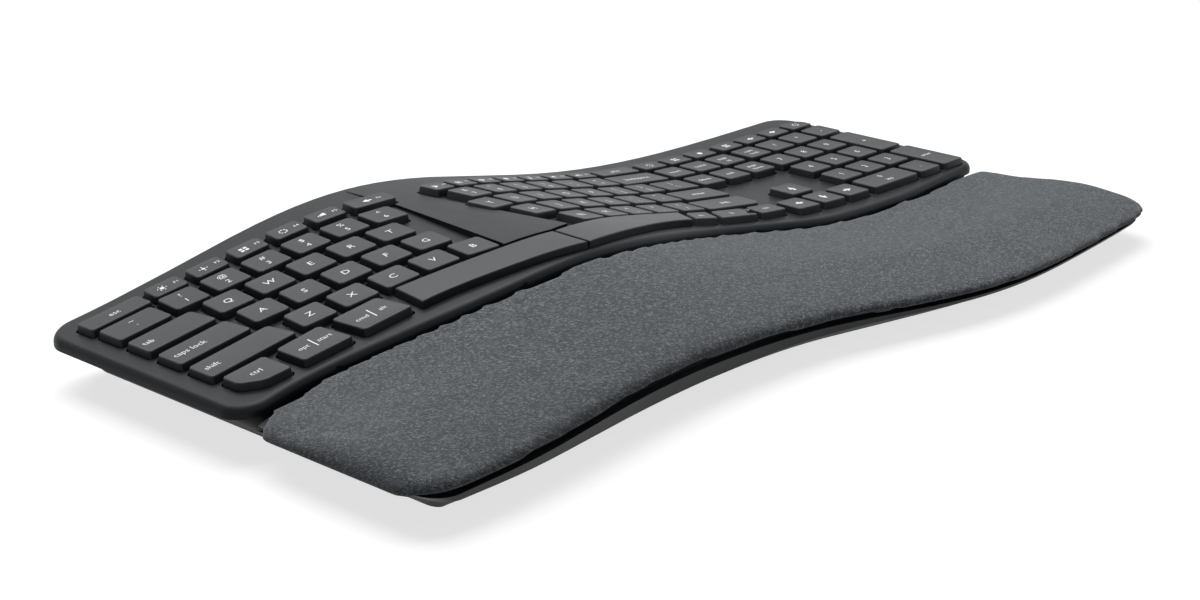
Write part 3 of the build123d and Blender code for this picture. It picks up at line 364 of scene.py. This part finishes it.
def select_in_mesh(obj, mode, wanted):
    """Selects the edges or faces that the test picks, and leaves the object in edit mode."""
    only(obj)
    bpy.ops.object.mode_set(mode="EDIT")
    bpy.ops.mesh.select_mode(type=mode)
    bpy.ops.mesh.select_all(action="DESELECT")
    bpy.ops.object.mode_set(mode="OBJECT")
    shape = bmesh.new()
    shape.from_mesh(obj.data)
    shape.normal_update()
    source, target = (shape.edges, obj.data.edges) if mode == "EDGE" else (shape.faces, obj.data.polygons)
    for item in source:
        if wanted(item):
            target[item.index].select = True
    shape.free()
    bpy.ops.object.mode_set(mode="EDIT")


UPWARD = 0.9
SHARP_ANGLE = math.radians(25)


def faces_up(face):
    return face.normal.z > UPWARD


def sharp_edge(edge):
    return len(edge.link_faces) == 2 and edge.calc_face_angle() > SHARP_ANGLE


def top_edge(edge):
    """True at the sharp edges that bound a key's top."""
    return sharp_edge(edge) and any(faces_up(face) for face in edge.link_faces)


def bevel_selected(radius, segments):
    """Rounds the selected edges and leaves edit mode."""
    bpy.ops.mesh.bevel(offset=radius, offset_type="OFFSET", segments=segments, profile=0.5, affect="EDGES")
    bpy.ops.object.mode_set(mode="OBJECT")


def finish_piece(obj, node_names, slot, body, smooth_angle=50):
    """Evens the shading, puts the finish on, ties the piece to its body and hides the nodes it stands for."""
    only(obj)
    bpy.ops.object.shade_smooth_by_angle(angle=math.radians(smooth_angle))
    modify(obj, "WEIGHTED_NORMAL", keep_sharp=True)
    obj.data.materials.clear()
    obj.data.materials.append(materials[slot])
    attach(obj, body)
    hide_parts(*node_names)


# Keycaps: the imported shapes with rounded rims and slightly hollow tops, in steps of a share and a depth

CAP_ROUNDING = 0.55 * MM
CAP_SEGMENTS = 3
DISHES = [(0.86, 0.08), (0.72, 0.10)]
KEY_TOP_AREA = 50 * MM * MM
LONG_SIDE = 5 * MM
ROW_DEPTH = 6 * MM


def key_tops(obj):
    """Middle, directions and size of every key top, in reading order."""
    tops = []
    mesh = obj.data
    for face in mesh.polygons:
        if face.normal.z < UPWARD or face.area < KEY_TOP_AREA:
            continue
        points = [mesh.vertices[i].co.copy() for i in face.vertices]
        runs = [(points[i - 1], points[i]) for i in range(len(points))]
        long_runs = [run for run in runs if (run[1] - run[0]).length > LONG_SIDE]
        start, end = min(long_runs, key=lambda run: run[0].y + run[1].y)
        right = (end - start).normalized()
        right = right if right.x > 0 else -right
        normal = face.normal.copy()
        up = normal.cross(right).normalized()
        sides = [point.dot(right) for point in points]
        depths = [point.dot(up) for point in points]
        level = points[0].dot(normal)
        middle = right * (min(sides) + max(sides)) / 2 + up * (min(depths) + max(depths)) / 2 + normal * level
        size = (max(sides) - min(sides), max(depths) - min(depths))
        tops.append({"middle": middle, "right": right, "up": up, "normal": normal, "size": size})
    tops.sort(key=lambda top: -top["middle"].y)
    rows = []
    for top in tops:
        if rows and rows[-1][-1]["middle"].y - top["middle"].y < ROW_DEPTH:
            rows[-1].append(top)
        else:
            rows.append([top])
    return [top for row in rows for top in sorted(row, key=lambda top: top["middle"].x)]


def hollow_tops(caps, tops):
    """Steps of each key top, drawn in towards its middle and lowered."""
    select_in_mesh(caps, "FACE", lambda face: faces_up(face) and face.calc_area() > KEY_TOP_AREA)
    for share, depth in DISHES:
        bpy.ops.mesh.extrude_region()
        bpy.ops.object.mode_set(mode="OBJECT")
        for vertex in caps.data.vertices:
            if vertex.select:
                top = min(tops, key=lambda top: (top["middle"] - vertex.co).length)
                inward = (vertex.co - top["middle"]) * share
                vertex.co = top["middle"] + inward - top["normal"] * depth * MM
        bpy.ops.object.mode_set(mode="EDIT")
    bpy.ops.object.mode_set(mode="OBJECT")


def make_caps(node_name):
    """Dressed copy of one keycap node, and the frames of its tops."""
    caps = copy_of("caps_" + node_name, node_name)
    tops = key_tops(caps)
    select_in_mesh(caps, "EDGE", top_edge)
    bevel_selected(CAP_ROUNDING, CAP_SEGMENTS)
    if not node_name.startswith("key_space"):
        hollow_tops(caps, tops)
    finish_piece(caps, [node_name], "keycaps", body_of_node[node_name])
    return caps, tops


# Legends: each mark is its words or icon, its place on the key top in millimetres, its height and its side

LETTER = 4.9
SIGN = 4.2
WORD = 4.0
SMALL = 3.4
TINY = 2.5
PAIR_OFFSETS = (2.9, -2.7)
STACK_OFFSETS = (2.0, -2.2)
TWO_WORD_OFFSETS = (-4.6, 4.8)
TWO_WORD_DROP = -0.4
FUNCTION_OFFSETS = (-1.6, 5.0)
FUNCTION_RISE = 0.2


def letter(words):
    return [(words, 0, 0, LETTER, "CENTER")]


def pair(upper, lower):
    return [(upper, 0, PAIR_OFFSETS[0], SIGN, "CENTER"), (lower, 0, PAIR_OFFSETS[1], SIGN, "CENTER")]


def word(words, size=WORD):
    return [(words, 0, 0, size, "CENTER")]


def left_word(words):
    return [(words, "left", 0, WORD, "LEFT")]


def two_words(first, second):
    return [
        (first, TWO_WORD_OFFSETS[0], TWO_WORD_DROP, SMALL, "CENTER"),
        ("icon:bar", 0, 0, SMALL, "CENTER"),
        (second, TWO_WORD_OFFSETS[1], TWO_WORD_DROP, SMALL, "CENTER"),
    ]


def stacked(upper, lower):
    return [(upper, 0, STACK_OFFSETS[0], SMALL, "CENTER"), (lower, 0, STACK_OFFSETS[1], SMALL, "CENTER")]


def function_key(icon, number):
    return [
        ("icon:" + icon, FUNCTION_OFFSETS[0], 0, SMALL, "CENTER"),
        (f"F{number}", FUNCTION_OFFSETS[1], FUNCTION_RISE, TINY, "CENTER"),
    ]


def icons(names, size):
    return [word("icon:" + name, size) for name in names]


LEGENDS = {
    "key_esc": word("esc"),
    "key_tilde": pair("~", "`"),
    "key_tab": left_word("tab"),
    "key_caps_lock": left_word("caps lock"),
    "key_shift_left": left_word("shift"),
    "key_ctrl_left": word("ctrl"),
    "key_alt_left": two_words("opt", "start"),
    "key_meta_left": two_words("cmd", "alt"),
    "key_backspace": word("backspace"),
    "key_backslash": pair("|", "\\"),
    "key_enter": word("enter"),
    "key_shift_right": word("shift"),
    "key_modifier_right_1": word("alt", SMALL),
    "key_print": word("print", SMALL),
    "key_numpad_plus": letter("+"),
    "key_numpad_enter": word("enter", SMALL),
    "key_numpad_zero": pair("0", "ins"),
}
ROW_LEGENDS = {
    "function_keys_left": [
        function_key(icon, i + 1) for i, icon in enumerate(("sun", "spark", "grid", "ring", "wave", "left"))
    ],
    "function_keys_right": [
        function_key(icon, i + 6)
        for i, icon in enumerate(("play", "pause", "right", "dot", "note", "tone", "sound"))
    ],
    "device_keys": icons(("ring", "grid", "dot"), SMALL),
    "hot_keys": icons(("grid", "left", "right", "ring"), SMALL),
    "navigation_keys": [
        word("insert", SMALL), word("home", SMALL), stacked("page", "up"),
        word("delete", SMALL), word("end", SMALL), stacked("page", "down"),
    ],
    "arrow_keys": icons(("up", "left", "down", "right"), WORD),
    "numpad_top_keys": [stacked("num", "lock"), letter("/"), letter("*"), letter("-")],
    "numpad_digit_keys": [letter(digit) for digit in "789456123."],
    "keys_modifiers_right": [word("fn", SMALL), word("ctrl", SMALL)],
    "keys_left_column_1": [pair("!", "1"), letter("Q"), letter("A"), letter("Z")],
    "keys_left_column_2": [pair("@", "2"), letter("W"), letter("S"), letter("X")],
    "keys_left_column_3": [pair("#", "3"), letter("E"), letter("D"), letter("C")],
    "keys_left_column_4": [pair("$", "4"), letter("R"), letter("F"), letter("V")],
    "keys_left_column_5": [pair("%", "5"), pair("^", "6"), letter("T"), letter("G"), letter("B")],
    "keys_right_column_1": [pair("&", "7"), letter("Y"), letter("H"), letter("N")],
    "keys_right_column_2": [pair("*", "8"), letter("U"), letter("J"), letter("M")],
    "keys_right_column_3": [pair("(", "9"), letter("I"), letter("K"), pair("<", ",")],
    "keys_right_column_4": [pair(")", "0"), letter("O"), letter("L"), pair(">", ".")],
    "keys_right_column_5": [pair("_", "-"), letter("P"), pair(":", ";"), pair("?", "/")],
    "keys_right_column_6": [pair("+", "="), pair("{", "["), pair("}", "]"), pair('"', "'")],
}
for name, marks in LEGENDS.items():
    ROW_LEGENDS[name] = [marks]

# Icons: each part is its number of sides, radius, place, turn in degrees and stretch sideways


def ring_of(count, step, radius, sides, size, turn):
    """Equal small parts round the middle, one every step of so many radians."""
    return [
        (sides, size, radius * math.cos(i * step), radius * math.sin(i * step), turn, 1) for i in range(count)
    ]


ICON_PARTS = {
    "dot": [(14, 0.42, 0, 0, 0, 1)],
    "bar": [(4, 1.5, 0, 0, 45, 0.07)],
    "play": [(3, 0.6, 0, 0, -90, 1)],
    "right": [(3, 0.55, 0, 0, -90, 1), (4, 0.22, -0.55, 0, 45, 1.6)],
    "left": [(3, 0.55, 0, 0, 90, 1), (4, 0.22, 0.55, 0, 45, 1.6)],
    "up": [(3, 0.55, 0, 0.1, 0, 1), (4, 0.26, 0, -0.45, 45, 1)],
    "down": [(3, 0.55, 0, -0.1, 180, 1), (4, 0.26, 0, 0.45, 45, 1)],
    "pause": [(4, 0.62, -0.28, 0, 45, 0.3), (4, 0.62, 0.28, 0, 45, 0.3)],
    "sun": [(12, 0.3, 0, 0, 0, 1)] + ring_of(6, 1, 0.55, 4, 0.11, 45),
    "spark": [(4, 0.3, 0, 0, 0, 1)] + ring_of(4, 1.57, 0.5, 4, 0.12, 0),
    "grid": [(4, 0.3, x, y, 45, 1) for x in (-0.3, 0.3) for y in (-0.3, 0.3)],
    "ring": ring_of(8, 0.785, 0.48, 10, 0.12, 0),
    "wave": [(4, 0.2 + 0.1 * i, -0.45 + 0.3 * i, 0.07 * i, 45, 0.5) for i in range(4)],
    "note": [(10, 0.22, -0.3, -0.35, 0, 1), (4, 0.66, -0.02, 0.05, 45, 0.12), (4, 0.2, 0.2, 0.42, 45, 1)],
    "tone": [(4, 0.28, -0.4, 0, 45, 1), (3, 0.5, -0.05, 0, 90, 0.8)],
    "sound": [(4, 0.28, -0.4, 0, 45, 1), (3, 0.5, -0.05, 0, 90, 0.8), (4, 0.4, 0.55, 0, 45, 0.2)],
}


def mark_objects(words, height, side):
    """Flat mesh objects of one mark, lying at the origin and facing up."""
    made = []
    if words.startswith("icon:"):
        for sides, radius, x, y, turn, stretch in ICON_PARTS[words[5:]]:
            bpy.ops.mesh.primitive_circle_add(vertices=sides, radius=radius * height * MM, fill_type="NGON")
            part = bpy.context.object
            moved = Matrix.Translation((x * height * MM, y * height * MM, 0))
            shape = moved @ Matrix.Diagonal((stretch, 1, 1, 1))
            part.data.transform(shape @ Matrix.Rotation(math.radians(turn), 4, "Z"))
            made.append(part)
        return made
    bpy.ops.object.text_add()
    text = bpy.context.object
    text.data.body = words
    text.data.size = height * MM
    text.data.align_x = side
    text.data.align_y = "CENTER"
    text.data.resolution_u = 2
    bpy.ops.object.convert(target="MESH")
    return [bpy.context.object]


LEGEND_LIFT = 0.3
LEGEND_OFFSET = 0.012
LEGEND_THICKNESS = 0.03
LEFT_MARGIN = 2.6


def make_legends(node_name, caps, tops):
    """Printed marks of one keycap node, laid on its tops."""
    marks = ROW_LEGENDS[node_name]
    if len(marks) != len(tops):
        raise ValueError(f"{node_name} has {len(tops)} tops and {len(marks)} legends")
    parts = []
    for top, key_marks in zip(tops, marks):
        for words, dx, dy, height, side in key_marks:
            dx = -top["size"][0] / 2 / MM + LEFT_MARGIN if dx == "left" else dx
            place = top["middle"] + (top["right"] * dx + top["up"] * dy + top["normal"] * LEGEND_LIFT) * MM
            turned = Matrix((top["right"], top["up"], top["normal"])).transposed().to_4x4()
            for part in mark_objects(words, height, side):
                part.data.transform(Matrix.Translation(place) @ turned)
                parts.append(part)
    only(*parts)
    if len(parts) > 1:
        bpy.ops.object.join()
    legends = bpy.context.view_layer.objects.active
    legends.name = "legends_" + node_name
    wrapping = {"wrap_method": "NEAREST_SURFACEPOINT", "offset": LEGEND_OFFSET * MM}
    modify(legends, "SHRINKWRAP", target=caps, **wrapping)
    modify(legends, "SOLIDIFY", thickness=LEGEND_THICKNESS * MM, offset=0.0)
    legends.data.materials.clear()
    legends.data.materials.append(ink)
    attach(legends, body_of_node[node_name])


all_tops = []
for node_name in sorted(nodes):
    if slot_by_node.get(node_name) or node_name.startswith("palm_leg"):
        continue
    caps, tops = make_caps(node_name)
    all_tops += tops
    if node_name in ROW_LEGENDS:
        make_legends(node_name, caps, tops)

# Links and domes: shown folded, low enough that a pressed key doesn't meet them

FOLDED_DEPTH = 3.2 * MM


def off_centre(top, place):
    """Distance of a place from the middle of a key top, as a share of the key's size."""
    away = place - top["middle"]
    return max(abs(away.dot(top["right"])) / top["size"][0], abs(away.dot(top["up"])) / top["size"][1])


def fold_down(node_name, slot):
    """Copy of a node squeezed along each key's own direction, its foot kept, its head at the folded depth."""
    piece = copy_of("folded_" + node_name, node_name)
    found = [min(all_tops, key=lambda top: off_centre(top, vertex.co)) for vertex in piece.data.vertices]
    placed = list(zip(found, piece.data.vertices))
    depths = [(top["middle"] - vertex.co).dot(top["normal"]) for top, vertex in placed]
    least, most = min(depths), max(depths)
    for (top, vertex), depth in zip(placed, depths):
        folded = most - (most - depth) * (most - FOLDED_DEPTH) / (most - least)
        vertex.co -= top["normal"] * (folded - depth)
    finish_piece(piece, [node_name], slot, "chassis")


fold_down("scissor_links", "link_plastic")
fold_down("rubber_domes", "rubber")

# Padded fabric palm rest

PAD_VOXEL = 1.9
COVER_THICKNESS = 1.1
UNDERSIDE = -0.5
FIRST_PASSES = 8
COVERED_PASSES = 6
SWOLLEN_PASSES = 3
HELD_SLOPE = 0.35
PAD_SWELL = 0.9
PAD_PRESSURE = 4.0
CLOTH_QUALITY = 4
CLOTH_FRAMES = 20


def relax(obj, passes):
    modify(obj, "SMOOTH", factor=0.5, iterations=passes)


def swell(pad):
    """Blows the pad up as cloth held at its edges and underside, by no more than the swell."""
    rest = [vertex.co.copy() for vertex in pad.data.vertices]
    held = pad.vertex_groups.new(name="held")
    fixed = [vertex.index for vertex in pad.data.vertices if vertex.normal.z < HELD_SLOPE]
    held.add(fixed, 1.0, "REPLACE")
    only(pad)
    bpy.ops.object.modifier_add(type="CLOTH")
    cloth = pad.modifiers[-1]
    cloth.settings.use_pressure = True
    cloth.settings.uniform_pressure_force = PAD_PRESSURE
    cloth.settings.effector_weights.gravity = 0.0
    cloth.settings.vertex_group_mass = "held"
    cloth.settings.quality = CLOTH_QUALITY
    for number in range(1, CLOTH_FRAMES + 1):
        bpy.context.scene.frame_set(number)
    bpy.ops.object.modifier_apply(modifier=cloth.name)
    bpy.context.scene.frame_set(1)
    for vertex, start in zip(pad.data.vertices, rest):
        moved = vertex.co - start
        if moved.length > PAD_SWELL * MM:
            vertex.co = start + moved.normalized() * PAD_SWELL * MM
    relax(pad, SWOLLEN_PASSES)


def make_palm_fabric():
    """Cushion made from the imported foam, grown by the cover's thickness and swollen by air pressure."""
    pad = copy_of("palm_fabric", "palm_cushion_foam")
    modify(pad, "REMESH", mode="VOXEL", voxel_size=PAD_VOXEL * MM)
    relax(pad, FIRST_PASSES)
    outward = [vertex.normal.copy() for vertex in pad.data.vertices]
    for vertex, normal in zip(pad.data.vertices, outward):
        if normal.z > UNDERSIDE:
            vertex.co += Vector((normal.x, normal.y, max(normal.z, 0))) * COVER_THICKNESS * MM
    relax(pad, COVERED_PASSES)
    swell(pad)
    only(pad)
    bpy.ops.object.shade_smooth()
    pad.data.materials.clear()
    pad.data.materials.append(materials["fabric"])
    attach(pad, "chassis")
    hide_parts("palm_cushion_cover", "palm_cushion_foam")


make_palm_fabric()

# Deck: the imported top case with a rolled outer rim

RIM_RADIUS = 3.0 * MM
RIM_SEGMENTS = 5
WALL_SLOPE = 0.5
DECK_SLOPE = 0.6


def outer_rim(obj):
    """Edges between the deck's upper side and its outer wall, found by going round the wall from the left."""
    shape = bmesh.new()
    shape.from_mesh(obj.data)
    shape.normal_update()
    walls = [face for face in shape.faces if abs(face.normal.z) < WALL_SLOPE]
    waiting = [min(walls, key=lambda face: min(vertex.co.x for vertex in face.verts))]
    ring = set(waiting)
    while waiting:
        for edge in waiting.pop().edges:
            for face in edge.link_faces:
                if face not in ring and abs(face.normal.z) < WALL_SLOPE:
                    ring.add(face)
                    waiting.append(face)
    rim = set()
    for face in ring:
        for edge in face.edges:
            if any(other.normal.z > DECK_SLOPE for other in edge.link_faces):
                rim.add(edge.index)
    shape.free()
    return rim


def make_deck():
    """Dressed copy of the top case with its outer rim rounded."""
    deck = copy_of("rolled_deck", "top_case")
    rim = outer_rim(deck)
    select_in_mesh(deck, "EDGE", lambda edge: edge.index in rim)
    bevel_selected(RIM_RADIUS, RIM_SEGMENTS)
    finish_piece(deck, ["top_case"], "deck", "chassis", smooth_angle=35)


make_deck()

# Lower shells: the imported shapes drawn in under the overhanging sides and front, by shares at heights

SQUEEZE_START = 200.0
SQUEEZE_LEVELS = {
    -1: [(3.0, 0.45), (8.8, 0.53), (17.0, 1.0)],
    1: [(3.0, 0.45), (8.8, 0.8), (12.2, 1.0)],
}
FRONT_START = -60.0
FRONT_RUN = 40.0
FRONT_SHIFT = 7.0
FRONT_LEVELS = [(3.0, 1.0), (8.8, 0.7), (17.0, 0.0)]


def share_at(levels, height):
    """Share at a height, from a table of (height, share) with rising heights."""
    if height <= levels[0][0]:
        return levels[0][1]
    for (low_at, low_share), (high_at, high_share) in zip(levels, levels[1:]):
        if height <= high_at:
            return low_share + (high_share - low_share) * (height - low_at) / (high_at - low_at)
    return levels[-1][1]


def draw_in(node_name, slot):
    """Copy of a shell with its low parts moved in from the sides and from the front."""
    shell = copy_of("shell_" + node_name, node_name)
    for vertex in shell.data.vertices:
        sign = 1 if vertex.co.x > 0 else -1
        beyond = abs(vertex.co.x) / MM - SQUEEZE_START
        if beyond > 0:
            share = share_at(SQUEEZE_LEVELS[sign], vertex.co.z / MM)
            vertex.co.x = sign * (SQUEEZE_START + beyond * share) * MM
        ahead = min(max((FRONT_START - vertex.co.y / MM) / FRONT_RUN, 0), 1)
        vertex.co.y += FRONT_SHIFT * ahead * share_at(FRONT_LEVELS, vertex.co.z / MM) * MM
    finish_piece(shell, [node_name], slot, "chassis", smooth_angle=30)


draw_in("bottom_case", "case")
draw_in("palm_rest_base", "palm_base")

# Floor and backdrop

FLOOR_SIZE = 12.0
FLOOR_SHADE = 0.32
SHOWN_SHADE = 0.34
SHOWN_GLOW = 0.72
FILL_STRENGTH = 0.16


def seen_rays(tree):
    """Mask of the rays that show the backdrop: straight from the camera, mirrored or let through."""
    rays = tree.nodes.new("ShaderNodeLightPath")
    straight = math_node(tree, "MAXIMUM", rays.outputs["Is Camera Ray"], rays.outputs["Is Transmission Ray"])
    return math_node(tree, "MAXIMUM", straight, rays.outputs["Is Glossy Ray"])


def make_floor():
    """Plain pale floor that shows white to the camera and keeps a soft shadow."""
    bpy.ops.mesh.primitive_plane_add(size=FLOOR_SIZE, location=(0, 0, 0))
    floor = bpy.context.object
    floor.name = "pale_floor"
    material = bpy.data.materials.new("pale_floor")
    material.use_nodes = True
    tree = material.node_tree
    tree.nodes.remove(tree.nodes["Principled BSDF"])
    plain = add_node(tree, "ShaderNodeBsdfDiffuse", Color=(FLOOR_SHADE, FLOOR_SHADE, FLOOR_SHADE, 1))
    shown = add_node(tree, "ShaderNodeBsdfDiffuse", Color=(SHOWN_SHADE, SHOWN_SHADE, SHOWN_SHADE, 1))
    glow = add_node(tree, "ShaderNodeEmission", Color=(1, 1, 1, 1), Strength=SHOWN_GLOW)
    both = tree.nodes.new("ShaderNodeAddShader")
    tree.links.new(shown.outputs[0], both.inputs[0])
    tree.links.new(glow.outputs[0], both.inputs[1])
    mix = tree.nodes.new("ShaderNodeMixShader")
    tree.links.new(seen_rays(tree), mix.inputs[0])
    tree.links.new(plain.outputs[0], mix.inputs[1])
    tree.links.new(both.outputs[0], mix.inputs[2])
    tree.links.new(mix.outputs[0], tree.nodes["Material Output"].inputs[0])
    floor.data.materials.append(material)


make_floor()


def make_world():
    """Dim even light from all round, white where the camera looks past the floor."""
    world = bpy.context.scene.world or bpy.data.worlds.new("studio")
    bpy.context.scene.world = world
    world.use_nodes = True
    tree = world.node_tree
    tree.nodes.clear()
    dim = add_node(tree, "ShaderNodeBackground", Color=(0.95, 0.97, 1.0, 1), Strength=FILL_STRENGTH)
    white = add_node(tree, "ShaderNodeBackground", Color=(1, 1, 1, 1), Strength=1.0)
    mix = tree.nodes.new("ShaderNodeMixShader")
    out = tree.nodes.new("ShaderNodeOutputWorld")
    tree.links.new(seen_rays(tree), mix.inputs[0])
    tree.links.new(dim.outputs[0], mix.inputs[1])
    tree.links.new(white.outputs[0], mix.inputs[2])
    tree.links.new(mix.outputs[0], out.inputs[0])


make_world()

SOFTBOX_PLACE = Vector((0.15, 0.45, 1.15))
SOFTBOX_AIM = Vector((0, 0, 0.02))
SOFTBOX_SIZE = 1.3
SOFTBOX_POWER = 25.0


def make_lamp():
    """One large softbox over the keyboard."""
    turn = (SOFTBOX_AIM - SOFTBOX_PLACE).to_track_quat("-Z", "Y").to_euler()
    bpy.ops.object.light_add(type="AREA", location=SOFTBOX_PLACE, rotation=turn)
    lamp = bpy.context.object
    lamp.name = "overhead_softbox"
    lamp.data.size = SOFTBOX_SIZE
    lamp.data.energy = SOFTBOX_POWER


make_lamp()
